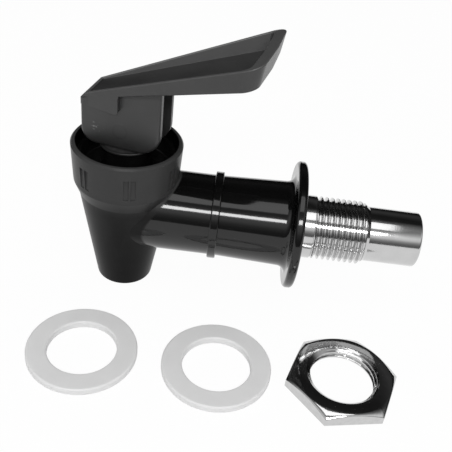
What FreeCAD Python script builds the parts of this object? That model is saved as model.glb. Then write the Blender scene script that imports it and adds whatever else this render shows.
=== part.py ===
import FreeCAD, Part
import math
import os

from FreeCAD import Vector

# Push-lever tap for a bag-in-box drink dispenser, in millimetres.
# The origin is the centre of the flange's wall face, on the shank's axis.
# +X runs along the shank into the container, +Z is up, and the tap hangs out along -X.

# ---- driving dimensions -------------------------------------------------------------------

# Where the upright axis of the body stands in front of the wall face.
reach = 43.9

# Clearances.
slip_fit = 0.05            # between a turning or sliding piece and its guide
seat_gap = 0.02            # between two faces that press together
static_fit = 0.06          # between pieces that are assembled once and stay
press_clearance = 0.005    # by which a pressed pin is drawn smaller than its hole

# Overrun of a cutting solid past the face that it opens, and of a fused solid into its neighbour.
overrun = 1.0
sink_in = 0.5

# Small edge rounds.
moulded_round = 0.3
turned_round = 0.2
washer_round = 0.15

# Body: cone with a straight band round its top.
outlet_z = -20.8
outlet_radius = 7.0
outlet_lip_round = 0.45
cone_spread = 0.173        # growth of the cone's radius for each millimetre of height
band_foot_z = 5.2          # where the cone ends and the shoulder below the band begins
band_foot_round = 1.5
band_bottom_z = 8.5
band_bottom_radius = 12.82
band_bottom_round = 1.2
rim_z = 18.5
rim_radius = 13.35
rim_bevel_width = 0.4
rim_bevel_height = 0.5
rim_edge_round = 0.15
bowl_radius = 12.1
bowl_shelf_z = 9.3

# Windows pressed into the band, in pairs of slots with a rib between them.
window_count = 7
window_bottom_z = 9.8
window_height = 5.5
window_slot_width = 1.2
window_rib_width = 0.45
window_floor_radius = 12.67

# Water way inside the body.
chamber_mouth_radius = 9.2
chamber_mouth_depth = 4.1
chamber_floor_radius = 7.5
seat_z = -9.2
seat_lip_height = 0.9
seat_lip_width = 0.9
throat_radius = 4.4
throat_length = 2.4
throat_flare = 1.0         # height of the cone from the throat to the outlet bore
outlet_bore_radius = 5.4

# Tube from the body to the wall, with one rib, and the wall flange.
tube_radius = 10.1
tube_root_radius = 10.8
tube_bore_radius = 5.6
rib_x = -21.1
rib_width = 2.1
rib_radius = 10.95
rib_round = 0.35
flange_radius = 16.0
flange_thickness = 2.4
flange_round = 0.9
flange_fillet = 2.0
face_recess_radius = 8.4   # round the shank in the flange's wall face
face_recess_depth = 0.8

# Metal shank: collar held in the body, thread outside, plain hose end.
thread_radius = 7.9375     # 5/8 inch across the crests
thread_start_x = 3.2
thread_end_x = 15.3
neck_length = 1.6
hose_end_radius = 6.87
shank_end_x = 29.8
shank_end_round = 0.6
shank_bore_radius = 4.9
spigot_radius = 7.3        # of the part inside the body
shank_embed = 13.5
collar_radius = 8.4
collar_width = 2.2
collar_x = -8.0
shank_groove_x = -11.8
shank_groove_width = 1.6
shank_groove_depth = 1.1

# Bonnet that closes the chamber and guides the stem.
bonnet_floor_z = 11.3
bonnet_skirt_z = 15.5
bonnet_skirt_wall = 1.15
bonnet_dish_round = 0.5
hub_foot_round = 0.8
hub_radius = 5.8
hub_top_z = 17.8
hub_round = 0.35
plug_length = 3.7
bonnet_groove_z = 7.5
bonnet_groove_width = 1.6
bonnet_groove_depth = 1.4
spring_pocket_radius = 4.6
gland_radius = 3.45
gland_top_z = 14.0
gland_depth = 1.5

# Slip washer between the hub and the lever.
slip_washer_radius = 6.6
slip_washer_bore = 2.6
slip_washer_thickness = 0.55

# Stem with its eye, spring, spring collar and seat cup.
stem_radius = 2.0
stem_neck_radius = 1.5
stem_button_radius = 2.6
stem_button_height = 1.2
stem_button_round = 0.4
eye_foot_round = 0.6
eye_crown_flat = 0.04      # left between the two rounds of the eye's top
eye_half_width = 3.5
eye_thickness = 5.2
eye_foot_gap = 0.4
spring_wire_radius = 0.4
spring_mean_radius = 3.4
spring_pitch = 2.05
spring_washer_radius = 4.45
spring_washer_thickness = 0.45
spring_collar_z = -2.0
spring_collar_thickness = 1.2
spring_collar_radius = 4.4
cup_radius = 6.0
cup_boss_radius = 3.9
cup_disc_height = 1.8
cup_floor = 2.9
cup_cone = 0.9             # height of the cone from the disc to the boss

# Lever: tray-shaped paddle on two cheeks. Its own axes are "out" along the paddle,
# "across" and up, turned about the body's upright axis.
lever_turn = -12.0
cheek_root = 9.7
cheek_tip = 9.5
cheek_outer = 4.85
cheek_inner = 3.0
cheek_root_corner = 3.6
cheek_tip_corner = 5.0
cheek_edge_round = 0.8
pivot_height = 4.6         # of the pivot above the flat foot of the cheeks
paddle_root_half_width = 4.65
paddle_tip = 32.0          # of the rim
paddle_tip_lean = 8.0      # of the end face, inward going down
paddle_side_angle = 11.02
paddle_tip_bow = 0.5
paddle_tip_crown = 25.0    # radius that blends the two halves of the bowed tip
paddle_corner = 2.8
paddle_root_z = 30.7
paddle_root_out = -8.7
paddle_slope = 23.75
root_bevel_drop = 1.2
rim_round = 0.2
underside_z = 32.25        # of the underside at the pivot
underside_slope = 19.4
underside_round = 0.4
flap_bottom_z = 27.8
flap_corner = 1.1
tray_wall = 0.9
tray_tip_wall = 2.6
tray_floor_z = 33.4        # of the tray's floor at the pivot
tray_floor_slope = 18.9
tray_corner = 1.6
pin_radius = 1.5
pin_skin = 0.6             # left outside each end of the pin
pin_chamfer = 0.2

# Loose sealing washers and back nut, laid out beside the tap on the level of its outlet.
sealing_washer_radius = 12.8
sealing_washer_bore = 8.03
sealing_washer_thickness = 1.9
sealing_washer_round = 0.45
outer_washer_x = -47.9
inner_washer_x = -16.5
nut_x = 12.8
loose_row_y = -32.2
nut_across_flats = 23.2
nut_thickness = 3.4
nut_turn = 11.0
nut_minor_radius = 7.5
nut_countersink_radius = 8.5
nut_countersink_depth = 0.75
nut_chamfer_circle = 11.2
nut_chamfer_angle = 30.0

# ---- places worked out from the driving dimensions ----------------------------------------

body_axis = Vector(-reach, 0, 0)
slip_washer_top_z = hub_top_z + slip_washer_thickness
cheek_foot_z = slip_washer_top_z + slip_fit
pivot_z = cheek_foot_z + pivot_height
gland_floor_z = gland_top_z - gland_depth
spring_top_z = gland_floor_z - spring_washer_thickness


# ---- shared shapes ------------------------------------------------------------------------

def rounded_outline(corners, place):
    """Closed wire through (u, v, radius) corners, each radius as a tangent arc."""
    points = [Vector(u, v, 0) for u, v, _ in corners]
    spans = []
    for i, (_, _, radius) in enumerate(corners):
        corner = points[i]
        before = (points[i - 1] - corner).normalize()
        after = (points[(i + 1) % len(points)] - corner).normalize()
        if radius == 0:
            spans.append((corner, None, corner))
            continue
        half = before.getAngle(after) / 2
        reach_along = radius / math.tan(half)
        middle = (before + after).normalize()
        crown = corner + middle * (radius / math.sin(half) - radius)
        spans.append((corner + before * reach_along, crown, corner + after * reach_along))
    edges = []
    for i, (start, crown, end) in enumerate(spans):
        if crown is not None:
            edges.append(Part.Arc(place(start), place(crown), place(end)).toShape())
        following = spans[(i + 1) % len(spans)][0]
        if (following - end).Length > 1e-6:
            edges.append(Part.LineSegment(place(end), place(following)).toShape())
    return Part.Wire(edges)


def turned_upright(corners):
    """Solid turned about +Z from (radius, height, round) corners."""
    wire = rounded_outline(corners, lambda p: Vector(p.x, 0, p.y))
    return Part.Face(wire).revolve(Vector(0, 0, 0), Vector(0, 0, 1), 360)


def turned_lengthwise(corners):
    """Solid turned about +X from (x, radius, round) corners."""
    wire = rounded_outline(corners, lambda p: Vector(p.x, 0, p.y))
    return Part.Face(wire).revolve(Vector(0, 0, 0), Vector(1, 0, 0), 360)


def side_plate(corners, start, width):
    """Plate with an (out, height, round) outline, from across = start, over width."""
    wire = rounded_outline(corners, lambda p: Vector(p.x, start, p.y))
    return Part.Face(wire).extrude(Vector(0, width, 0))


def ring(middle_radius, section_radius, centre, axis):
    """Sealing ring of round section."""
    return Part.makeTorus(middle_radius, section_radius, centre, axis)


def on_body_axis(shape):
    """Shape moved from the origin to the body's upright axis."""
    placed = shape.copy()
    placed.translate(body_axis)
    return placed


def cone_radius(height):
    """Outer radius of the cone at a height."""
    return outlet_radius + cone_spread * (height - outlet_z)


# ---- body ---------------------------------------------------------------------------------

def body_cup():
    """Outer form of the cone, the shoulder and the band above it, with its bevelled rim."""
    return turned_upright([
        (0, outlet_z, 0),
        (outlet_radius, outlet_z, outlet_lip_round),
        (cone_radius(band_foot_z), band_foot_z, band_foot_round),
        (band_bottom_radius, band_bottom_z, band_bottom_round),
        (rim_radius, rim_z - rim_bevel_height, rim_edge_round),
        (rim_radius - rim_bevel_width, rim_z, rim_edge_round),
        (0, rim_z, 0),
    ])


def body_tube():
    """Outer form of the tube, its rib and the wall flange."""
    rib_start = rib_x - rib_width / 2
    rib_end = rib_x + rib_width / 2
    return turned_lengthwise([
        (-reach, 0, 0),
        (-reach, tube_radius, 0),
        (rib_start, tube_radius, 0),
        (rib_start, rib_radius, rib_round),
        (rib_end, rib_radius, rib_round),
        (rib_end, tube_radius, 0),
        (-flange_thickness, tube_root_radius, flange_fillet),
        (-flange_thickness, flange_radius, flange_round),
        (0, flange_radius, flange_round),
        (0, 0, 0),
    ])


def body_cavity():
    """Bowl, chamber with its valve seat, throat and outlet, as one cutting solid."""
    chamber_floor_z = seat_z - seat_lip_height
    lip_outer = throat_radius + seat_lip_width
    mouth_bottom_z = bowl_shelf_z - chamber_mouth_depth
    return turned_upright([
        (0, rim_z + overrun, 0),
        (bowl_radius, rim_z + overrun, 0),
        (bowl_radius, bowl_shelf_z, 0),
        (chamber_mouth_radius, bowl_shelf_z, 0),
        (chamber_mouth_radius, mouth_bottom_z, 0),
        (chamber_floor_radius, chamber_floor_z, 0),
        (lip_outer, chamber_floor_z, 0),
        (lip_outer, seat_z, 0),
        (throat_radius, seat_z, 0),
        (throat_radius, seat_z - throat_length, 0),
        (outlet_bore_radius, seat_z - throat_length - throat_flare, 0),
        (outlet_bore_radius, outlet_z - overrun, 0),
        (0, outlet_z - overrun, 0),
    ])


def tube_cavity():
    """Water way through the tube and the pocket that holds the shank."""
    pocket_radius = spigot_radius + static_fit
    groove_radius = collar_radius + static_fit
    groove_start = collar_x - collar_width / 2 - static_fit
    groove_end = collar_x + collar_width / 2 + static_fit
    return turned_lengthwise([
        (-reach, 0, 0),
        (-reach, tube_bore_radius, 0),
        (-shank_embed - static_fit, tube_bore_radius, 0),
        (-shank_embed - static_fit, pocket_radius, 0),
        (groove_start, pocket_radius, 0),
        (groove_start, groove_radius, 0),
        (groove_end, groove_radius, 0),
        (groove_end, pocket_radius, 0),
        (-face_recess_depth, pocket_radius, 0),
        (-face_recess_depth, face_recess_radius, 0),
        (overrun, face_recess_radius, 0),
        (overrun, 0, 0),
    ])


def window_slots():
    """Slots of all the windows round the band."""
    slots = []
    depth = rim_radius + overrun - window_floor_radius
    for index in range(window_count):
        angle = 180 + index * 360 / window_count
        for side in (-1, 1):
            middle = side * (window_rib_width + window_slot_width) / 2
            slot = Part.makeBox(depth, window_slot_width, window_height,
                                Vector(window_floor_radius, middle - window_slot_width / 2, window_bottom_z))
            slot.rotate(Vector(0, 0, 0), Vector(0, 0, 1), angle)
            slots.append(slot)
    return Part.makeCompound(slots)


def tap_body():
    """One-piece black moulding: cone, band, tube, rib and flange."""
    outer = on_body_axis(body_cup()).fuse(body_tube())
    hollow = outer.cut(on_body_axis(body_cavity())).cut(tube_cavity())
    return hollow.cut(on_body_axis(window_slots()))


# ---- shank --------------------------------------------------------------------------------

def shank():
    """Polished steel shank, turned in one piece: spigot, thread as a plain cylinder, hose end."""
    groove_start = shank_groove_x - shank_groove_width / 2
    groove_end = shank_groove_x + shank_groove_width / 2
    groove_radius = spigot_radius - shank_groove_depth
    collar_start = collar_x - collar_width / 2
    collar_end = collar_x + collar_width / 2
    neck_x = thread_end_x + neck_length
    return turned_lengthwise([
        (-shank_embed, shank_bore_radius, 0),
        (-shank_embed, spigot_radius, 0),
        (groove_start, spigot_radius, 0),
        (groove_start, groove_radius, 0),
        (groove_end, groove_radius, 0),
        (groove_end, spigot_radius, 0),
        (collar_start, spigot_radius, 0),
        (collar_start, collar_radius, 0),
        (collar_end, collar_radius, 0),
        (collar_end, spigot_radius, 0),
        (0, spigot_radius, 0),
        (0, thread_radius, 0),
        (thread_end_x, thread_radius, 0),
        (neck_x, hose_end_radius, 0),
        (shank_end_x, hose_end_radius, shank_end_round),
        (shank_end_x, shank_bore_radius, shank_end_round),
    ])


def shank_seal():
    """Sealing ring in the shank's groove."""
    groove_floor = spigot_radius - shank_groove_depth
    section = (shank_groove_depth + static_fit) / 2 - seat_gap
    return ring((groove_floor + spigot_radius + static_fit) / 2, section,
                Vector(shank_groove_x, 0, 0), Vector(1, 0, 0))


# ---- bonnet and its seals -----------------------------------------------------------------

def bonnet():
    """Inner cap: dished floor, outer skirt, guide hub and plug with a seal groove."""
    plug_radius = chamber_mouth_radius - static_fit
    plate_radius = bowl_radius - static_fit
    plug_bottom_z = bowl_shelf_z - plug_length
    groove_low = bonnet_groove_z - bonnet_groove_width / 2
    groove_high = bonnet_groove_z + bonnet_groove_width / 2
    groove_floor = plug_radius - bonnet_groove_depth
    guide_radius = stem_radius + slip_fit
    return turned_upright([
        (guide_radius, gland_top_z, 0),
        (guide_radius, hub_top_z, 0),
        (hub_radius, hub_top_z, hub_round),
        (hub_radius, bonnet_floor_z, hub_foot_round),
        (plate_radius - bonnet_skirt_wall, bonnet_floor_z, bonnet_dish_round),
        (plate_radius - bonnet_skirt_wall, bonnet_skirt_z, 0),
        (plate_radius, bonnet_skirt_z, moulded_round),
        (plate_radius, bowl_shelf_z + seat_gap, 0),
        (plug_radius, bowl_shelf_z + seat_gap, 0),
        (plug_radius, groove_high, 0),
        (groove_floor, groove_high, 0),
        (groove_floor, groove_low, 0),
        (plug_radius, groove_low, 0),
        (plug_radius, plug_bottom_z, moulded_round),
        (spring_pocket_radius, plug_bottom_z, 0),
        (spring_pocket_radius, gland_floor_z, 0),
        (gland_radius, gland_floor_z, 0),
        (gland_radius, gland_top_z, 0),
    ])


def bonnet_seal():
    """Sealing ring between the bonnet's plug and the chamber's mouth."""
    groove_floor = chamber_mouth_radius - static_fit - bonnet_groove_depth
    section = (chamber_mouth_radius - groove_floor) / 2 - seat_gap
    return ring((groove_floor + chamber_mouth_radius) / 2, section,
                Vector(0, 0, bonnet_groove_z), Vector(0, 0, 1))


def stem_seal():
    """Sealing ring round the stem, in the gland of the bonnet."""
    section = (gland_radius - stem_radius) / 2 - slip_fit / 2
    return ring((gland_radius + stem_radius) / 2, section,
                Vector(0, 0, gland_top_z - section - seat_gap), Vector(0, 0, 1))


def spring_washer():
    """Steel washer that closes the gland and takes the spring's upper end."""
    return turned_upright([
        (stem_radius + 2 * slip_fit, spring_top_z, 0),
        (stem_radius + 2 * slip_fit, gland_floor_z - seat_gap, 0),
        (spring_washer_radius, gland_floor_z - seat_gap, 0),
        (spring_washer_radius, spring_top_z, 0),
    ])


def slip_washer():
    """Plastic washer on the hub, which the lever's cheeks slide and turn on."""
    return turned_upright([
        (slip_washer_bore, hub_top_z + seat_gap, 0),
        (slip_washer_bore, slip_washer_top_z, 0),
        (slip_washer_radius, slip_washer_top_z, washer_round),
        (slip_washer_radius, hub_top_z + seat_gap, washer_round),
    ])


# ---- stem, spring and seat cup ------------------------------------------------------------

def stem():
    """Stem: rod with a flat eye at the top, a neck and a button at the foot."""
    neck_top_z = spring_collar_z
    button_top_z = seat_z + cup_floor + stem_button_height
    eye_foot_z = slip_washer_top_z + eye_foot_gap
    rod = turned_upright([
        (0, button_top_z - stem_button_height, 0),
        (stem_button_radius, button_top_z - stem_button_height, stem_button_round),
        (stem_button_radius, button_top_z, 0),
        (stem_neck_radius, button_top_z, 0),
        (stem_neck_radius, neck_top_z, 0),
        (stem_radius, neck_top_z, 0),
        (stem_radius, eye_foot_z + sink_in, 0),
        (0, eye_foot_z + sink_in, 0),
    ])
    eye_top_z = pivot_z + eye_half_width
    eye_top_round = eye_half_width - eye_crown_flat / 2
    eye = side_plate([
        (-eye_half_width, eye_foot_z, eye_foot_round),
        (eye_half_width, eye_foot_z, eye_foot_round),
        (eye_half_width, eye_top_z, eye_top_round),
        (-eye_half_width, eye_top_z, eye_top_round),
    ], -eye_thickness / 2, eye_thickness)
    hole = Part.makeCylinder(pin_radius + slip_fit, eye_thickness + 2 * overrun,
                             Vector(0, -eye_thickness / 2 - overrun, pivot_z), Vector(0, 1, 0))
    return rod.fuse(eye).cut(hole)


def spring_collar():
    """Collar snapped on the stem's neck, which takes the spring's lower end."""
    return turned_upright([
        (stem_neck_radius + slip_fit, spring_collar_z - spring_collar_thickness, 0),
        (stem_neck_radius + slip_fit, spring_collar_z - seat_gap, 0),
        (spring_collar_radius, spring_collar_z - seat_gap, turned_round),
        (spring_collar_radius, spring_collar_z - spring_collar_thickness, turned_round),
    ])


def closing_spring():
    """Open coil spring of round wire, between the spring collar and the spring washer."""
    bottom = spring_collar_z + spring_wire_radius + seat_gap
    top = spring_top_z - spring_wire_radius - seat_gap
    path = Part.makeHelix(spring_pitch, top - bottom, spring_mean_radius)
    path.translate(Vector(0, 0, bottom))
    start = Vector(spring_mean_radius, 0, bottom)
    direction = Vector(0, spring_mean_radius, spring_pitch / (2 * math.pi))
    circle = Part.makeCircle(spring_wire_radius, start, direction)
    return Part.Wire(path).makePipeShell([Part.Wire(circle)], True, True)


def seat_cup():
    """Silicone cup on the stem's button, which closes the valve seat."""
    face_z = seat_z + seat_gap
    pocket_floor_z = seat_z + cup_floor - slip_fit
    pocket_top_z = pocket_floor_z + stem_button_height + 2 * slip_fit
    boss_top_z = spring_collar_z - spring_collar_thickness - seat_gap
    return turned_upright([
        (0, face_z, 0),
        (cup_radius, face_z, moulded_round),
        (cup_radius, face_z + cup_disc_height, moulded_round),
        (cup_boss_radius, face_z + cup_disc_height + cup_cone, 0),
        (cup_boss_radius, boss_top_z, moulded_round),
        (stem_neck_radius + slip_fit, boss_top_z, 0),
        (stem_neck_radius + slip_fit, pocket_top_z, 0),
        (stem_button_radius + slip_fit, pocket_top_z, 0),
        (stem_button_radius + slip_fit, pocket_floor_z, 0),
        (0, pocket_floor_z, 0),
    ])


# ---- lever and its pin --------------------------------------------------------------------

def rim_height(out):
    """Height of the tray's rim at a distance out from the pivot."""
    return paddle_root_z + (out - paddle_root_out) * math.tan(math.radians(paddle_slope))


def underside_height(out):
    """Height of the paddle's underside at a distance out from the pivot."""
    return underside_z + out * math.tan(math.radians(underside_slope))


def tray_floor_height(out):
    """Height of the tray's floor at a distance out from the pivot."""
    return tray_floor_z + out * math.tan(math.radians(tray_floor_slope))


def paddle_half_width(out):
    """Half of the paddle's width at a distance out from the pivot."""
    return paddle_root_half_width + (out - paddle_root_out) * math.tan(math.radians(paddle_side_angle))


def plan_outline(root, tip, inset, tip_bow, corner, height):
    """Level outline that widens from the root to a slightly bowed tip."""
    root_half = paddle_half_width(root) - inset
    tip_half = paddle_half_width(tip) - inset
    return rounded_outline([
        (root, -root_half, 0),
        (tip, -tip_half, corner),
        (tip + tip_bow, 0, paddle_tip_crown),
        (tip, tip_half, corner),
        (root, root_half, 0),
    ], lambda p: Vector(p.x, p.y, height))


def plan_prism(root, rim_tip, inset, tip_bow, corner, lean, low, high):
    """Solid between two levels whose tip leans inward going down, true at the rim's height."""
    tip_height = rim_height(rim_tip)
    wires = []
    for height in (low, high):
        tip = rim_tip + (height - tip_height) * math.tan(math.radians(lean))
        wires.append(plan_outline(root, tip, inset, tip_bow, corner, height))
    return Part.makeLoft(wires, True, True)


def cheek(side):
    """One cheek of the lever, with a blind hole for the pin, on one side."""
    start = cheek_inner if side > 0 else -cheek_outer
    plate = side_plate([
        (-cheek_root, cheek_foot_z, cheek_root_corner),
        (cheek_tip, cheek_foot_z, cheek_tip_corner),
        (cheek_tip, underside_height(cheek_tip) + sink_in, 0),
        (-cheek_root, underside_height(-cheek_root) + sink_in, 0),
    ], start, cheek_outer - cheek_inner)
    outer_edges = []
    for edge in plate.Edges:
        box = edge.BoundBox
        flat_to_outside = abs(box.YMin - side * cheek_outer) < 1e-4 and box.YLength < 1e-4
        if flat_to_outside and box.ZMin < underside_height(-cheek_root):
            outer_edges.append(edge)
    return plate.makeFillet(cheek_edge_round, outer_edges)


def edges_at(shape, height_at):
    """Edges of a shape whose ends lie at a height that depends on the distance out."""
    found = []
    for edge in shape.Edges:
        if all(abs(end.Z - height_at(end.X)) < 1e-3 for end in edge.Vertexes):
            found.append(edge)
    return found


def paddle():
    """Tapering tray of the lever with the two flaps at its root, its edges softened."""
    low = flap_bottom_z - overrun
    high = rim_height(paddle_tip) + overrun
    plan = plan_prism(-cheek_root, paddle_tip, 0, paddle_tip_bow, paddle_corner, paddle_tip_lean, low, high)
    half_width = paddle_half_width(paddle_tip) + overrun
    tip = paddle_tip + paddle_tip_bow + overrun
    paddle_side = side_plate([
        (-cheek_root, underside_height(-cheek_root), 0),
        (tip, underside_height(tip), 0),
        (tip, rim_height(tip), 0),
        (paddle_root_out, paddle_root_z, 0),
        (-cheek_root, paddle_root_z - root_bevel_drop, 0),
    ], -half_width, 2 * half_width)
    flap_side = side_plate([
        (-cheek_root, flap_bottom_z, 0),
        (0, flap_bottom_z, flap_corner),
        (0, underside_height(0) + sink_in, 0),
        (-cheek_root, underside_height(-cheek_root) + sink_in, 0),
    ], -half_width, 2 * half_width)
    slot = Part.makeBox(cheek_root + 2 * overrun, 2 * cheek_inner, underside_height(0) - low,
                        Vector(-cheek_root - overrun, -cheek_inner, low))
    slot = slot.cut(paddle_side)
    whole = plan.common(paddle_side).fuse(plan.common(flap_side).cut(slot))
    tray_tip = paddle_tip - tray_tip_wall
    tray_plan = plan_prism(paddle_root_out + tray_wall, tray_tip, tray_wall, paddle_tip_bow, tray_corner, 0,
                           low, high)
    above_floor = side_plate([
        (-cheek_root, tray_floor_height(-cheek_root), 0),
        (tip, tray_floor_height(tip), 0),
        (tip, high + overrun, 0),
        (-cheek_root, high + overrun, 0),
    ], -half_width, 2 * half_width)
    tray = whole.cut(tray_plan.common(above_floor))
    tray = tray.makeFillet(rim_round, edges_at(tray, rim_height))
    lower_edges = []
    for edge in edges_at(tray, underside_height):
        outs = [end.X for end in edge.Vertexes]
        if min(outs) > -1e-3 and max(outs) > 1e-3:
            lower_edges.append(edge)
    return tray.makeFillet(underside_round, lower_edges)


def lever():
    """One black moulding: tray-shaped paddle, root flaps and two cheeks round the stem's eye."""
    body = paddle().fuse(cheek(-1)).fuse(cheek(1)).removeSplitter()
    pin_half = cheek_outer - pin_skin
    hole = Part.makeCylinder(pin_radius, 2 * pin_half + 2 * seat_gap,
                             Vector(0, -pin_half - seat_gap, pivot_z), Vector(0, 1, 0))
    return body.cut(hole)


def pivot_pin():
    """Steel pin through the stem's eye, pressed into both cheeks."""
    half = cheek_outer - pin_skin
    pin = Part.makeCylinder(pin_radius - press_clearance, 2 * half, Vector(0, -half, pivot_z), Vector(0, 1, 0))
    ends = [edge for edge in pin.Edges if edge.Curve.TypeId == "Part::GeomCircle"]
    return pin.makeChamfer(pin_chamfer, ends)


def turned_with_lever(shape):
    """Shape turned to the lever's direction and moved to the body's axis."""
    placed = shape.copy()
    placed.rotate(Vector(0, 0, 0), Vector(0, 0, 1), lever_turn)
    placed.translate(body_axis)
    return placed


# ---- loose sealing washers and back nut ---------------------------------------------------

def sealing_washer(x):
    """Soft flat washer for the shank, lying flat."""
    top_z = outlet_z + sealing_washer_thickness
    washer = turned_upright([
        (sealing_washer_bore, outlet_z, sealing_washer_round / 2),
        (sealing_washer_bore, top_z, sealing_washer_round),
        (sealing_washer_radius, top_z, sealing_washer_round),
        (sealing_washer_radius, outlet_z, sealing_washer_round),
    ])
    washer.translate(Vector(x, loose_row_y, 0))
    return washer


def back_nut():
    """Thin hexagonal nut, chamfered on top, with its thread as a plain bore."""
    corner_radius = nut_across_flats / math.sqrt(3)
    corners = []
    for index in range(6):
        angle = math.radians(nut_turn + 60 * index)
        corners.append(Vector(corner_radius * math.cos(angle), corner_radius * math.sin(angle), outlet_z))
    hexagon = Part.Face(Part.makePolygon(corners + corners[:1])).extrude(Vector(0, 0, nut_thickness))
    top_z = outlet_z + nut_thickness
    outside = corner_radius + overrun
    drop = (outside - nut_chamfer_circle) * math.tan(math.radians(nut_chamfer_angle))
    turned = turned_upright([
        (0, outlet_z, 0),
        (outside, outlet_z, 0),
        (outside, top_z - drop, 0),
        (nut_chamfer_circle, top_z, 0),
        (0, top_z, 0),
    ])
    bore = turned_upright([
        (0, outlet_z - overrun, 0),
        (nut_countersink_radius, outlet_z - overrun, 0),
        (nut_countersink_radius, outlet_z, 0),
        (nut_minor_radius, outlet_z + nut_countersink_depth, 0),
        (nut_minor_radius, top_z - nut_countersink_depth, 0),
        (nut_countersink_radius, top_z, 0),
        (nut_countersink_radius, top_z + overrun, 0),
        (0, top_z + overrun, 0),
    ])
    nut = hexagon.common(turned).cut(bore)
    nut.translate(Vector(nut_x, loose_row_y, 0))
    return nut


# ---- export -------------------------------------------------------------------------------

nodes = {
    "tap_body": tap_body(),
    "shank": shank(),
    "shank_seal": shank_seal(),
    "bonnet": on_body_axis(bonnet()),
    "bonnet_seal": on_body_axis(bonnet_seal()),
    "stem_seal": on_body_axis(stem_seal()),
    "spring_washer": on_body_axis(spring_washer()),
    "closing_spring": on_body_axis(closing_spring()),
    "slip_washer": on_body_axis(slip_washer()),
    "stem": turned_with_lever(stem()),
    "spring_collar": on_body_axis(spring_collar()),
    "seat_cup": on_body_axis(seat_cup()),
    "lever": turned_with_lever(lever()),
    "pivot_pin": turned_with_lever(pivot_pin()),
    "outer_sealing_washer": sealing_washer(outer_washer_x),
    "inner_sealing_washer": sealing_washer(inner_washer_x),
    "back_nut": back_nut(),
}

os.makedirs("parts", exist_ok=True)
for name, shape in nodes.items():
    solid = shape.Solids[0]
    print(name, "solids", len(shape.Solids), "valid", shape.isValid(), "volume", round(solid.Volume, 2))
    solid.exportStep(f"parts/{name}.step")
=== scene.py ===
import math

import bpy
from mathutils import Matrix, Vector


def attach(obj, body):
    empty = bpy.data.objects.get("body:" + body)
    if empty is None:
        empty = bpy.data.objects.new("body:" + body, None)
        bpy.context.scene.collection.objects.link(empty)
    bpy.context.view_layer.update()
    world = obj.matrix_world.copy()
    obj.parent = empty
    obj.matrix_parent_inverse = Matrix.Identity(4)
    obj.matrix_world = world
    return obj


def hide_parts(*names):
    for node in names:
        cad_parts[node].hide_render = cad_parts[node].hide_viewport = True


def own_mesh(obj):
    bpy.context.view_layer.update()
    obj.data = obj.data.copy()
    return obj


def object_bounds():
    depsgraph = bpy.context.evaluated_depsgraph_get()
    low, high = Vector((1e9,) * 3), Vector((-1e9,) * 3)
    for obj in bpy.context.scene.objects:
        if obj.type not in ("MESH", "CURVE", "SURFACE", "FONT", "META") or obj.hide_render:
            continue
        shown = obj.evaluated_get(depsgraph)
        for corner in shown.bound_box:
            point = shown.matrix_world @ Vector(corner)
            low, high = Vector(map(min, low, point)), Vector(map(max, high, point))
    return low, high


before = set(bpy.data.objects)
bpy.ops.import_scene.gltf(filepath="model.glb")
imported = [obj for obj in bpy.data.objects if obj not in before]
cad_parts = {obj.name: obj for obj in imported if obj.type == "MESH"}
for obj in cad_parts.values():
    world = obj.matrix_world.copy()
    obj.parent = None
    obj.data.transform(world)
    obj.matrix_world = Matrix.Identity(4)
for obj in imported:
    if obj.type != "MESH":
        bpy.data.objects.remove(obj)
cad_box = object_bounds()


# ---- camera -------------------------------------------------------------------------------
# Looks down on the tap from its front and from close by, as one looks at a tap that lies on a
# table. The camera leans a little, so the tap seems to rest on its outlet and flange.

camera_place = Vector((-0.01927, -0.14319, 0.10260))
looks_along = Vector((0.00629, 0.80449, -0.59393))
lean = math.radians(7.374)
focal_length = 55.5
sensor = 36.0
nearest_seen = 0.005
furthest_seen = 20

camera = bpy.data.objects.new("camera", bpy.data.cameras.new("camera"))
bpy.context.scene.collection.objects.link(camera)
camera.data.lens = focal_length
camera.data.sensor_width = sensor
camera.data.clip_start = nearest_seen
camera.data.clip_end = furthest_seen
level = looks_along.to_track_quat("-Z", "Y").to_matrix().to_4x4()
camera.matrix_world = Matrix.Translation(camera_place) @ level @ Matrix.Rotation(lean, 4, "Z")
bpy.context.scene.camera = camera
bpy.context.scene.view_settings.view_transform = "Standard"


# ---- table, tent and lamps ----------------------------------------------------------------
# A round white table, a long soft lamp in front of it and above the eye, a dim panel overhead,
# and a dark tent round it all, which only shows as the dark parts of the reflections.

class Socket:
    """An output of a node, which Python's own operators work on."""

    def __init__(self, finish, output):
        self.finish = finish
        self.output = output

    def maths(self, operation, *values):
        numbered = dict(enumerate(values))
        return self.finish.node("ShaderNodeMath", {"operation": operation}, numbered)

    def __add__(self, other):
        return self.maths("ADD", self, other)

    def __radd__(self, other):
        return self.maths("ADD", other, self)

    def __sub__(self, other):
        return self.maths("SUBTRACT", self, other)

    def __rsub__(self, other):
        return self.maths("SUBTRACT", other, self)

    def __mul__(self, other):
        return self.maths("MULTIPLY", self, other)

    def __rmul__(self, other):
        return self.maths("MULTIPLY", other, self)

    def __truediv__(self, other):
        return self.maths("DIVIDE", self, other)

    def __pow__(self, other):
        return self.maths("POWER", self, other)


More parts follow.
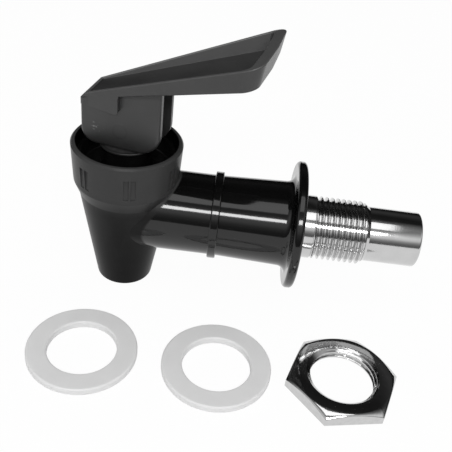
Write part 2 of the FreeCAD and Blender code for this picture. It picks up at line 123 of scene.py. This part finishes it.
class Finish:
    """A material, lamp or world and the nodes in it."""

    def __init__(self, holder):
        holder.use_nodes = True
        self.holder = holder
        self.tree = holder.node_tree
        self.tree.nodes.clear()

    def node(self, kind, settings=None, inputs=None, output=0):
        """Adds a node: its settings first, then a value or a link for each named socket."""
        made = self.tree.nodes.new(kind)
        for name, value in (settings or {}).items():
            if name == "stops":
                ramp = made.color_ramp.elements
                while len(ramp) < len(value):
                    ramp.new(1.0)
                for stop, (place, tone) in zip(ramp, value):
                    stop.position = place
                    stop.color = (tone, tone, tone, 1)
            else:
                setattr(made, name, value)
        for name, value in (inputs or {}).items():
            if isinstance(value, Socket):
                self.tree.links.new(value.output, made.inputs[name])
            else:
                made.inputs[name].default_value = value
        return Socket(self, made.outputs[output]) if made.outputs else None


def grey(tone):
    return (tone, tone, tone, 1)


def stage_mesh(name, corners, faces):
    mesh = bpy.data.meshes.new(name)
    mesh.from_pydata(corners, [], faces)
    thing = bpy.data.objects.new(name, mesh)
    bpy.context.scene.collection.objects.link(thing)
    return thing


def seen_directly(finish):
    """1 for rays from the eye, and for those that a mirror or glass passes on."""
    def ray(kind):
        return finish.node("ShaderNodeLightPath", output=kind)
    total = ray("Is Camera Ray") + ray("Is Glossy Ray") + ray("Is Transmission Ray")
    return finish.node("ShaderNodeMath", {"operation": "MINIMUM"}, {0: total, 1: 1.0})


table_radius = 0.45
table_sides = 96
table_tone = 0.9
white_share = 0.96         # of the table that shows as pure white; the rest shows its shadows
table_z = cad_box[0].z
table_rim = []
for side in range(table_sides):
    turn = 2 * math.pi * side / table_sides
    table_rim.append((table_radius * math.cos(turn), table_radius * math.sin(turn), table_z))
table = stage_mesh("table", table_rim, [tuple(range(table_sides))])
white = Finish(bpy.data.materials.new("white_table"))
cloth = white.node("ShaderNodeBsdfDiffuse", None, {"Color": grey(table_tone)})
glow = white.node("ShaderNodeEmission", None, {"Color": grey(1.0), "Strength": 1.0})
covered = seen_directly(white) * white_share
mixed = white.node("ShaderNodeMixShader", None, {0: covered, 1: cloth, 2: glow})
white.node("ShaderNodeOutputMaterial", None, {"Surface": mixed})
table.data.materials.append(white.holder)

world = Finish(bpy.data.worlds.new("white_room"))
bpy.context.scene.world = world.holder
room_level = 0.45
room = seen_directly(world) * (1 - room_level) + room_level
backdrop = world.node("ShaderNodeBackground", None, {"Color": grey(1.0), "Strength": room})
world.node("ShaderNodeOutputWorld", None, {"Surface": backdrop})

tent_radius = 1.5
tent_back_share = 0.05     # how bright the tent's back is beside its front
tent_brightness = [        # (share of the tent's height, brightness there)
    (0.0, 0.12),
    (0.13, 0.16),
    (0.28, 0.35),
    (0.42, 0.8),
    (0.55, 0.9),
    (0.8, 0.25),
    (1.0, 0.35),
]
tent_rings = 24
tent_sides = 48
tent_points = []
for ring in range(tent_rings + 1):
    height = math.pi * (ring / tent_rings - 0.5)
    for side in range(tent_sides):
        turn = 2 * math.pi * side / tent_sides
        tent_points.append((
            tent_radius * math.cos(height) * math.cos(turn),
            tent_radius * math.cos(height) * math.sin(turn),
            tent_radius * math.sin(height),
        ))
tent_faces = []
for ring in range(tent_rings):
    for side in range(tent_sides):
        following = (side + 1) % tent_sides
        low = ring * tent_sides
        high = low + tent_sides
        tent_faces.append((low + side, low + following, high + following, high + side))
tent = stage_mesh("tent", tent_points, tent_faces)
tent.visible_camera = False
tent.visible_diffuse = False
tent.visible_transmission = False
tent.visible_shadow = False
dark = Finish(bpy.data.materials.new("dark_tent"))
place = dark.node("ShaderNodeTexCoord", output="Object")
height = dark.node("ShaderNodeSeparateXYZ", None, {0: place}, output="Z") / tent_radius
depth = dark.node("ShaderNodeSeparateXYZ", None, {0: place}, output="Y") / tent_radius
front = dark.node("ShaderNodeMapRange", None, {"Value": depth, "From Min": 0.2, "From Max": -0.3})
rising = dark.node("ShaderNodeValToRGB", {"stops": tent_brightness}, {"Fac": height})
strength = rising * (front * (1 - tent_back_share) + tent_back_share)
shine = dark.node("ShaderNodeEmission", None, {"Color": grey(1.0), "Strength": strength})
dark.node("ShaderNodeOutputMaterial", None, {"Surface": shine})
tent.data.materials.append(dark.holder)


def soft_lamp(name, bearing, rise, distance, wide, high, radiance):
    """A flat lamp that faces the tap: bearing from the front, rise above the table, in degrees."""
    lamp = bpy.data.lights.new(name, "AREA")
    lamp.shape = "RECTANGLE"
    lamp.size = wide
    lamp.size_y = high
    lamp.energy = radiance * math.pi * wide * high
    thing = bpy.data.objects.new(name, lamp)
    bpy.context.scene.collection.objects.link(thing)
    bearing = math.radians(bearing)
    rise = math.radians(rise)
    out = Vector((math.sin(bearing) * math.cos(rise), -math.cos(bearing) * math.cos(rise), math.sin(rise)))
    turned = out.to_track_quat("Z", "Y").to_matrix().to_4x4()
    thing.matrix_world = Matrix.Translation(aim + out * distance) @ turned
    return thing


aim = Vector((-0.02, -0.01, 0.0))
soft_lamp("front_lamp", bearing=3, rise=40.5, distance=0.6, wide=0.36, high=0.08, radiance=18)
soft_lamp("overhead_panel", bearing=0, rise=74, distance=0.6, wide=0.5, high=0.30, radiance=1.5)


# ---- body ---------------------------------------------------------------------------------
# One black glossy moulding: the cup with its band, the tube with its rib, and the wall flange.
# The mould was polished for the tube and flange, and the cup came out of it a little duller; its colour
# also carries painted shade.

class Place:
    """The point that is shaded, in millimetres, in the frame of the whole tap."""

    def __init__(self, finish):
        self.finish = finish
        self.point = finish.node("ShaderNodeTexCoord", output="Object")
        parts = {0: self.point}
        self.x = finish.node("ShaderNodeSeparateXYZ", None, parts, output="X") * 1000
        self.y = finish.node("ShaderNodeSeparateXYZ", None, parts, output="Y") * 1000
        self.z = finish.node("ShaderNodeSeparateXYZ", None, parts, output="Z") * 1000

    def distance(self, *offsets):
        """Length of the line whose offsets along the axes are given."""
        total = 0
        for offset in offsets:
            total = offset * offset + total
        return total ** 0.5

    def rise(self, value, start, end):
        """0 up to start, 1 from end on."""
        return self.finish.node("ShaderNodeMapRange", {"interpolation_type": "SMOOTHSTEP"}, {
            "Value": value, "From Min": start, "From Max": end})

    def grain(self, per_metre, detail=3.0, stretch=(1, 1, 1)):
        """Noise round 0.5; a lump is a metre / per_metre wide, and longer where stretch is under 1."""
        drawn = self.finish.node("ShaderNodeMapping", None, {"Vector": self.point, "Scale": stretch})
        return self.finish.node("ShaderNodeTexNoise", None, {
            "Vector": drawn, "Scale": per_metre, "Detail": detail})


def grey_mix(finish, amount, low, high):
    """From grey tone low where amount is 0 to high where it is 1."""
    return finish.node("ShaderNodeMix", {"data_type": "RGBA", "clamp_factor": False}, {
        0: amount, "A": grey(low), "B": grey(high)}, output=2)


def dress(node, finish, surface):
    """Ends the finish in its surface and gives it to a CAD node."""
    finish.node("ShaderNodeOutputMaterial", None, {"Surface": surface})
    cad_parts[node].data.materials.clear()
    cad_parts[node].data.materials.append(finish.holder)


reach = 43.9
outlet_z = -20.8
outlet_radius = 7.0
cone_spread = 0.173
bowl_shelf_z = 9.3
bowl_radius = 12.1
# Painted shade: below these heights the cup's colour darkens towards the outlet, for the shaded table that
# the cup reflects near its foot.
cone_shade_fades_over = (-18.0, 4.0)    # heights
band_shade_fades_over = (3.0, 10.0)
cone_fade_share = 0.22                  # of the paleness; the band has the rest

gloss = Finish(bpy.data.materials.new("black_gloss_moulding"))
at = Place(gloss)
from_axis = at.distance(at.x + reach, at.y)
beyond_cone = from_axis - (at.z - outlet_z) * cone_spread - outlet_radius
on_cup = 1 - at.rise(beyond_cone, 0.9, 1.4)
inside_wall = 1 - at.rise(from_axis, bowl_radius + 0.1, bowl_radius + 0.3)
in_bowl = at.rise(at.z, bowl_shelf_z - 0.3, bowl_shelf_z + 0.3) * inside_wall
flow = at.grain(120.0)
fine = at.grain(2600.0, 5.0)
scuffs = at.rise(at.grain(420.0, 6.0, (0.35, 1.0, 1.0)), 0.62, 0.74)
specks = at.rise(at.grain(1500.0, 2.0), 0.76, 0.82)
lumps = gloss.node("ShaderNodeBump", None, {
    "Strength": 0.35, "Distance": 0.00004, "Height": flow + fine * 0.12})
polished = gloss.node("ShaderNodeBsdfPrincipled", None, {
    "Base Color": grey_mix(gloss, specks, 0.003, 0.02),
    "Roughness": scuffs * 0.10 + (flow - 0.5) * 0.05 + (fine - 0.5) * 0.04 + 0.085,
    "Normal": lumps})
# Painted shade on the cup, darker towards the outlet, mixed with random flow tone; none is painted inside
# the bowl.
painted_shade_fade = at.rise(at.z, *cone_shade_fades_over) * cone_fade_share + at.rise(at.z, *band_shade_fades_over) * (1 - cone_fade_share)
painted_shade_and_flow = (painted_shade_fade + (flow - 0.5) * 0.2) * (1 - in_bowl)
cup_shade_and_tone = gloss.node("ShaderNodeMath", {"operation": "MAXIMUM"}, {0: painted_shade_and_flow, 1: 0.0})
dull = gloss.node("ShaderNodeBsdfPrincipled", None, {
    "Base Color": grey_mix(gloss, cup_shade_and_tone, 0.002, 0.045), "Specular IOR Level": 0.08,
    "Roughness": (flow - 0.5) * 0.06 + (fine - 0.5) * 0.06 + 0.32, "Normal": lumps})
dress("tap_body", gloss, gloss.node("ShaderNodeMixShader", None, {0: on_cup, 1: polished, 2: dull}))


# ---- shank and its seal -------------------------------------------------------------------
# Stainless steel, turned in one piece and polished, with a 5/8 inch 18-thread screw and a plain
# hose end. Its collar sits in the body, and a rubber ring in its groove seals it there.

def wrapped(name, rings, joined=True):
    """Mesh over closed rings of points; the last ring joins the first, or both are capped."""
    count = len(rings[0])
    corners = [point for ring in rings for point in ring]
    faces = []
    for row in range(len(rings) if joined else len(rings) - 1):
        low = row * count
        high = (row + 1) % len(rings) * count
        for side in range(count):
            following = (side + 1) % count
            faces.append((low + side, low + following, high + following, high + side))
    if not joined:
        faces.append(tuple(reversed(range(count))))
        faces.append(tuple(range(len(corners) - count, len(corners))))
    mesh = bpy.data.meshes.new(name)
    mesh.from_pydata(corners, [], faces)
    mesh.shade_smooth()
    mesh.set_sharp_from_angle(angle=math.radians(32))
    thing = bpy.data.objects.new(name, mesh)
    bpy.context.scene.collection.objects.link(thing)
    return thing


def thread_depth(turns):
    """Depth below the crest of a 60 degree thread, so many turns along from a crest."""
    off_crest = abs(turns - round(turns))
    sloping = (off_crest - crest_share / 2) / (0.5 - crest_share / 2 - root_share / 2)
    return full_depth * min(max(sloping, 0.0), 1.0)


def quarter(centre_x, centre_y, radius, start, steps=4):
    """Points of a quarter circle, from a start angle in degrees, going clockwise."""
    points = []
    for step in range(steps + 1):
        turn = math.radians(start - 90 * step / steps)
        points.append((centre_x + radius * math.cos(turn), centre_y + radius * math.sin(turn)))
    return points


pitch = 25.4 / 18
full_depth = 0.6134 * pitch
crest_share = 0.125        # of the pitch that is flat on the crest
root_share = 0.25          # of the pitch that is flat in the root
run_out = 0.6 * pitch      # along which the groove deepens
thread_radius = 7.9375
thread_start = 3.2
chamfer_start = 15.3
neck_end = 16.9
hose_radius = 6.87
shank_end = 29.8
bore_radius = 4.9
spigot_radius = 7.3
spigot_start = -13.5
spigot_chamfer = 0.2
thread_edge = 0.05
groove_start = -12.6
groove_end = -11.0
groove_floor = 6.2
collar_start = -9.1
collar_end = -6.9
collar_radius = 8.4
end_round = 0.6
shank_sides = 144
rows_a_turn = 20

before_thread = [
    (spigot_start, bore_radius),
    (spigot_start, spigot_radius - spigot_chamfer),
    (spigot_start + spigot_chamfer, spigot_radius),
    (groove_start, spigot_radius),
    (groove_start, groove_floor),
    (groove_end, groove_floor),
    (groove_end, spigot_radius),
    (collar_start, spigot_radius),
    (collar_start, collar_radius),
    (collar_end, collar_radius),
    (collar_end, spigot_radius),
    (0.0, spigot_radius),
    (0.0, thread_radius - thread_edge),
    (thread_edge, thread_radius),
]
after_thread = [(neck_end, hose_radius)]
after_thread += quarter(shank_end - end_round, hose_radius - end_round, end_round, 90)
after_thread += quarter(shank_end - end_round, bore_radius + end_round, end_round, 0)


def shank_ring(x, radius_at):
    """Ring of points round the shank; radius_at gives the radius for each angle."""
    ring = []
    for side in range(shank_sides):
        turn = 2 * math.pi * side / shank_sides
        radius = radius_at(turn)
        ring.append((x / 1000, radius * math.cos(turn) / 1000, radius * math.sin(turn) / 1000))
    return ring


def thread_radius_at(x):
    """Radius of the thread for each angle: it deepens from its start and dies in the chamfer."""
    deepening = min(1.0, (x - thread_start) / run_out)
    chamfer_slope = (thread_radius - hose_radius) / (neck_end - chamfer_start)
    chamfered = thread_radius - max(0.0, x - chamfer_start) * chamfer_slope

    def radius_at(turn):
        along = (x - thread_start) / pitch - turn / (2 * math.pi)
        return max(hose_radius, min(chamfered, thread_radius - deepening * thread_depth(along)))
    return radius_at


rings = [shank_ring(x, lambda turn, radius=radius: radius) for x, radius in before_thread]
thread_rows = math.ceil((neck_end - thread_start) / pitch * rows_a_turn)
for row in range(thread_rows):
    x = thread_start + row * pitch / rows_a_turn
    rings.append(shank_ring(x, thread_radius_at(x)))
rings += [shank_ring(x, lambda turn, radius=radius: radius) for x, radius in after_thread]
threaded_shank = wrapped("threaded_shank", rings)
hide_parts("shank")
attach(threaded_shank, "tap")

steel = Finish(bpy.data.materials.new("turned_polished_steel"))
at = Place(steel)
lathe = at.grain(5200.0, 2.0, (1.0, 0.012, 0.012))
cloudy = at.grain(260.0, 4.0)
grit = at.grain(3800.0, 3.0)
rubbed = (cloudy - 0.5) * 0.10 + (grit - 0.5) * 0.10 + 0.11
cut = steel.node("ShaderNodeBump", None, {
    "Strength": 0.30, "Distance": 0.00002, "Height": lathe * 0.6 + grit * 0.5})
threaded_shank.data.materials.append(steel.holder)
polished = steel.node("ShaderNodeBsdfPrincipled", None, {
    "Base Color": grey_mix(steel, cloudy, 0.50, 0.64), "Metallic": 1.0, "Roughness": rubbed, "Normal": cut})
steel.node("ShaderNodeOutputMaterial", None, {"Surface": polished})


def rubber(node, name, tone, roughness):
    """Soft moulded ring or cup, matt, with a faint bloom on it."""
    finish = Finish(bpy.data.materials.new(name))
    at = Place(finish)
    bloom = at.grain(500.0, 4.0)
    skin = finish.node("ShaderNodeBump", None, {
        "Strength": 0.3, "Distance": 0.00003, "Height": at.grain(4000.0)})
    dress(node, finish, finish.node("ShaderNodeBsdfPrincipled", None, {
        "Base Color": grey_mix(finish, bloom, tone * 0.8, tone * 1.2),
        "Roughness": (bloom - 0.5) * 0.2 + roughness, "Normal": skin}))


rubber("shank_seal", "shank_seal_rubber", 0.03, 0.7)


# ---- bonnet and its seals -----------------------------------------------------------------
# Black moulding pressed down into the cup: it closes the chamber and guides the stem, and the
# lever stands on its hub. A rubber ring seals it in the body, a smaller one seals the stem.

hub_top_z = 17.8

cap = Finish(bpy.data.materials.new("black_bonnet_moulding"))
at = Place(cap)
flow = at.grain(300.0)
fine = at.grain(2600.0, 5.0)
# Paler and rougher at the top of the hub.
top_of_hub = at.rise(at.z, hub_top_z - 0.2, hub_top_z)
flow_lines = cap.node("ShaderNodeBump", None, {
    "Strength": 0.3, "Distance": 0.00004, "Height": flow + fine * 0.3})
dress("bonnet", cap, cap.node("ShaderNodeBsdfPrincipled", None, {
    "Base Color": grey_mix(cap, flow * 0.5 + top_of_hub * 0.4, 0.002, 0.010),
    "Roughness": (flow - 0.5) * 0.12 + top_of_hub * 0.1 + 0.24, "Normal": flow_lines}))
rubber("bonnet_seal", "bonnet_seal_rubber", 0.03, 0.7)
rubber("stem_seal", "stem_seal_rubber", 0.03, 0.65)


# ---- spring washer, closing spring and spring collar --------------------------------------
# A stamped steel washer closes the stem's gland. The coil spring of drawn stainless wire pushes
# down from it on the collar, a small white disc on the stem, and so keeps the valve shut.

def bright_steel(name):
    """Drawn or stamped steel; gives the finish and its surface."""
    finish = Finish(bpy.data.materials.new(name))
    at = Place(finish)
    drawn = at.grain(1800.0, 4.0)
    marks = finish.node("ShaderNodeBump", None, {
        "Strength": 0.3, "Distance": 0.00002, "Height": drawn})
    surface = finish.node("ShaderNodeBsdfPrincipled", None, {
        "Base Color": grey_mix(finish, drawn, 0.48, 0.62), "Metallic": 1.0,
        "Roughness": (drawn - 0.5) * 0.2 + 0.3, "Normal": marks})
    return finish, surface


washer_steel, stamped = bright_steel("stamped_washer_steel")
dress("spring_washer", washer_steel, stamped)

wire_radius = 0.4
coil_radius = 3.4
spring_bottom = -1.58
spring_top = 11.63
spring_pitch = 2.05
spring_turns = (spring_top - spring_bottom) / spring_pitch
stops_a_turn = 28
wire_sides = 12
rings = []
stops = round(spring_turns * stops_a_turn)
for stop in range(stops + 1):
    turn = 2 * math.pi * spring_turns * stop / stops
    middle = Vector((coil_radius * math.cos(turn) - reach, coil_radius * math.sin(turn),
                     spring_bottom + (spring_top - spring_bottom) * stop / stops))
    outward = Vector((math.cos(turn), math.sin(turn), 0))
    ring = []
    for side in range(wire_sides):
        roll = 2 * math.pi * side / wire_sides
        point = middle + (outward * math.cos(roll) + Vector((0, 0, math.sin(roll)))) * wire_radius
        ring.append(tuple(point / 1000))
    rings.append(ring)
coiled_spring = wrapped("coiled_spring", rings, joined=False)
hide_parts("closing_spring")
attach(coiled_spring, "tap")
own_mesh(coiled_spring)
wire_steel, drawn_wire = bright_steel("spring_wire_steel")
wire_steel.node("ShaderNodeOutputMaterial", None, {"Surface": drawn_wire})
coiled_spring.data.materials.append(wire_steel.holder)


def white_moulding(node, name):
    """Hard white low-friction plastic with faint flow marks and a worn sheen."""
    finish = Finish(bpy.data.materials.new(name))
    at = Place(finish)
    flow = at.grain(350.0, 4.0)
    skin = finish.node("ShaderNodeBump", None, {
        "Strength": 0.25, "Distance": 0.00004, "Height": flow})
    dress(node, finish, finish.node("ShaderNodeBsdfPrincipled", None, {
        "Base Color": grey_mix(finish, flow, 0.70, 0.82),
        "Roughness": (flow - 0.5) * 0.15 + 0.38, "Normal": skin}))


white_moulding("spring_collar", "white_collar_moulding")


# ---- stem and seat cup --------------------------------------------------------------------
# The stem is one white moulding: an eye for the lever's pin at the top, a round rod through the
# bonnet, and a button at the foot that the silicone seat cup is stretched over.

white_moulding("stem", "white_stem_moulding")
rubber("seat_cup", "milky_silicone", 0.7, 0.5)


# ---- slip washer --------------------------------------------------------------------------
# Thin black disc of slippery plastic on the bonnet's hub. The lever's cheeks slide and rock on
# it, which leaves a ring of fine rubbing marks.

rubbed_from = (3.5, 4.2)
rubbed_to = (5.6, 6.2)

slip = Finish(bpy.data.materials.new("black_slip_plastic"))
at = Place(slip)
from_axis = at.distance(at.x + reach, at.y)
rubbed = at.rise(from_axis, *rubbed_from) * (1 - at.rise(from_axis, *rubbed_to))
rub_marks = at.grain(1400.0, 4.0)
dress("slip_washer", slip, slip.node("ShaderNodeBsdfPrincipled", None, {
    "Base Color": grey_mix(slip, rub_marks * rubbed, 0.012, 0.05),
    "Roughness": (rub_marks - 0.5) * 0.2 + 0.42}))


# ---- lever and its pin --------------------------------------------------------------------
# One black moulding from a spark-eroded mould, so it is satin: a tray-shaped paddle on two
# cheeks. The steel pin through cheeks and stem ends under a thin skin, which sank a little.

lever_turn = math.radians(-12.0)
pivot_height = 23.0
cheek_outer = 4.85
paddle_root_out = -8.7
paddle_root_height = 30.7
paddle_root_half_width = 4.65
paddle_slope = math.tan(math.radians(23.75))
paddle_spread = math.tan(math.radians(11.02))
tray_wall = 0.9
scuff_out = -5.4
scuff_height = 23.2

satin = Finish(bpy.data.materials.new("black_satin_moulding"))
at = Place(satin)
out = (at.x + reach) * math.cos(lever_turn) + at.y * math.sin(lever_turn)
across = at.y * math.cos(lever_turn) - (at.x + reach) * math.sin(lever_turn)
spark = at.grain(3000.0, 6.0)
cloudy = at.grain(160.0, 3.0)
handled = at.rise(at.grain(700.0, 5.0, (0.3, 1.0, 1.0)), 0.64, 0.72)
from_pivot = at.distance(out, at.z - pivot_height)
# Painted shade: a faint darker ring round the pivot, where the skin sank over the pin's ends.
sink_painted_shade = at.rise(from_pivot, 1.3, 1.6) * (1 - at.rise(from_pivot, 1.7, 2.1))
# Painted shade: the lever's colour darkens towards its foot, down in the cup's bowl.
lever_foot_shade_fade = at.rise(at.z, 17.5, 26.0)
half_width = (out - paddle_root_out) * paddle_spread + paddle_root_half_width
below_rim = (out - paddle_root_out) * paddle_slope + paddle_root_height - at.z
on_paddle = 1 - at.rise(below_rim, 5.5, 6.5)
# Painted highlight: a thin lighter line along the tray's rim.
rim_painted_highlight = 1 - at.rise(below_rim, 0.1, 0.3)
from_side = across - half_width
# Painted light: the inner face of the tray's far wall is made lighter.
past_tray = at.rise(from_side, -tray_wall - 0.4, -tray_wall - 0.25)
before_skin = 1 - at.rise(from_side, -tray_wall + 0.3, -tray_wall + 0.5)
far_wall_painted_light = past_tray * before_skin * on_paddle
scratches = at.rise(at.grain(2200.0, 2.0, (0.5, 1.0, 1.0)), 0.60, 0.68)
near_scuff = 1 - at.rise(at.distance(out - scuff_out, at.z - scuff_height), 0.8, 1.9)
near_cheek = 1 - at.rise(across, -cheek_outer + 0.25, -cheek_outer + 0.45)
scuff = scratches * near_scuff * near_cheek
# The lever's tone: random cloudiness and wear from hands, painted shade towards the foot and round the
# pivot, real scuffs, a painted highlight on the rim and painted light on the far wall.
tone = cloudy * 0.4 + lever_foot_shade_fade * 0.25 + handled * 0.1 - sink_painted_shade * 0.12
tone = tone + scuff * 3.0 + rim_painted_highlight * 1.1 + far_wall_painted_light * 1.6
texture = satin.node("ShaderNodeBump", None, {
    "Strength": 0.5, "Distance": 0.00003, "Height": spark})
dress("lever", satin, satin.node("ShaderNodeBsdfPrincipled", None, {
    "Base Color": grey_mix(satin, tone, 0.012, 0.055),
    "Roughness": (cloudy - 0.5) * 0.08 + (spark - 0.5) * 0.08 - handled * 0.06 + 0.37, "Normal": texture}))
pin_steel, ground = bright_steel("pin_steel")
dress("pivot_pin", pin_steel, ground)


# ---- sealing washers ----------------------------------------------------------------------
# Two soft milky washers, one for each side of the container's wall. They are moulded, with all
# edges soft, and a little light passes into them.

def milky(node, name):
    """Soft moulded seal that lets a little light in."""
    finish = Finish(bpy.data.materials.new(name))
    at = Place(finish)
    cloudy = at.grain(180.0, 4.0)
    skin = finish.node("ShaderNodeBump", None, {
        "Strength": 0.25, "Distance": 0.00004, "Height": at.grain(900.0, 4.0)})
    dress(node, finish, finish.node("ShaderNodeBsdfPrincipled", None, {
        "Base Color": grey_mix(finish, cloudy, 0.70, 0.76),
        "Subsurface Weight": 0.3, "Subsurface Scale": 0.001, "Subsurface Radius": (1, 1, 1),
        "Roughness": (cloudy - 0.5) * 0.12 + 0.5, "Normal": skin}))


milky("outer_sealing_washer", "milky_seal_outer")
milky("inner_sealing_washer", "milky_seal_inner")


# ---- back nut -----------------------------------------------------------------------------
# Thin hexagonal nut, pressed, tapped, plated and polished. Its top is chamfered to a circle,
# and a countersink on both faces leads the shank into the thread.

nut_x = 12.8
nut_y = -32.2
across_flats = 23.2
nut_thickness = 3.4
nut_turn = 11.0
minor_radius = 7.5
countersink_radius = 8.5
countersink_depth = 0.75
chamfer_circle = 11.2
top_slope = math.tan(math.radians(30))
foot_edge = 0.15
top_edge = 0.1
thread_clearance = 0.05
nut_sides = 180
bore_rows = 48


def hexagon_radius(turn):
    """Distance of the nut's side from its axis, for each angle."""
    in_side = (math.degrees(turn) - nut_turn) % 60 - 30
    return across_flats / 2 / math.cos(math.radians(in_side))


def nut_ring(radius_at, height_at):
    """Ring of points round the nut; its height is worked out from each point's radius."""
    ring = []
    for side in range(nut_sides):
        turn = math.radians(nut_turn) + 2 * math.pi * side / nut_sides
        radius = radius_at(turn)
        ring.append(((nut_x + radius * math.cos(turn)) / 1000, (nut_y + radius * math.sin(turn)) / 1000,
                     (outlet_z + height_at(radius)) / 1000))
    return ring


def chamfered_top(radius):
    """Height of the top face, which falls away outside the chamfer's circle."""
    return nut_thickness - max(0.0, radius - chamfer_circle) * top_slope


def tapped_radius(height):
    """Radius of the tapped bore for each angle, opened by the countersink at both faces."""
    def radius_at(turn):
        depth = full_depth - thread_depth(height / pitch - turn / (2 * math.pi))
        flare = max(0.0, countersink_depth - height, height - nut_thickness + countersink_depth)
        opened = minor_radius + flare * (countersink_radius - minor_radius) / countersink_depth
        return max(opened, min(minor_radius + depth, thread_radius + thread_clearance))
    return radius_at


rings = [
    nut_ring(lambda turn: countersink_radius, lambda radius: 0.0),
    nut_ring(lambda turn: hexagon_radius(turn) - foot_edge, lambda radius: 0.0),
    nut_ring(hexagon_radius, lambda radius: foot_edge),
    nut_ring(hexagon_radius, lambda radius: chamfered_top(radius) - top_edge),
    nut_ring(lambda turn: hexagon_radius(turn) - top_edge, chamfered_top),
    nut_ring(lambda turn: chamfer_circle, chamfered_top),
    nut_ring(lambda turn: countersink_radius, lambda radius: nut_thickness),
]
for row in range(1, bore_rows):
    height = nut_thickness * (1 - row / bore_rows)
    rings.append(nut_ring(tapped_radius(height), lambda radius, height=height: height))
threaded_nut = wrapped("threaded_back_nut", rings)
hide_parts("back_nut")
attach(threaded_nut, "tap")

plating = Finish(bpy.data.materials.new("bright_nut_plating"))
at = Place(plating)
orange_peel = at.grain(900.0, 3.0)
grit = at.grain(3600.0, 3.0)
pits = at.rise(at.grain(1700.0, 4.0), 0.70, 0.78)
peel = plating.node("ShaderNodeBump", None, {
    "Strength": 0.35, "Distance": 0.00003, "Height": orange_peel + grit * 0.3 - pits * 0.4})
plated = plating.node("ShaderNodeBsdfPrincipled", None, {
    "Base Color": grey_mix(plating, orange_peel - pits * 0.3, 0.50, 0.66), "Metallic": 1.0,
    "Roughness": (grit - 0.5) * 0.08 + pits * 0.2 + 0.09, "Normal": peel})
plating.node("ShaderNodeOutputMaterial", None, {"Surface": plated})
threaded_nut.data.materials.append(plating.holder)
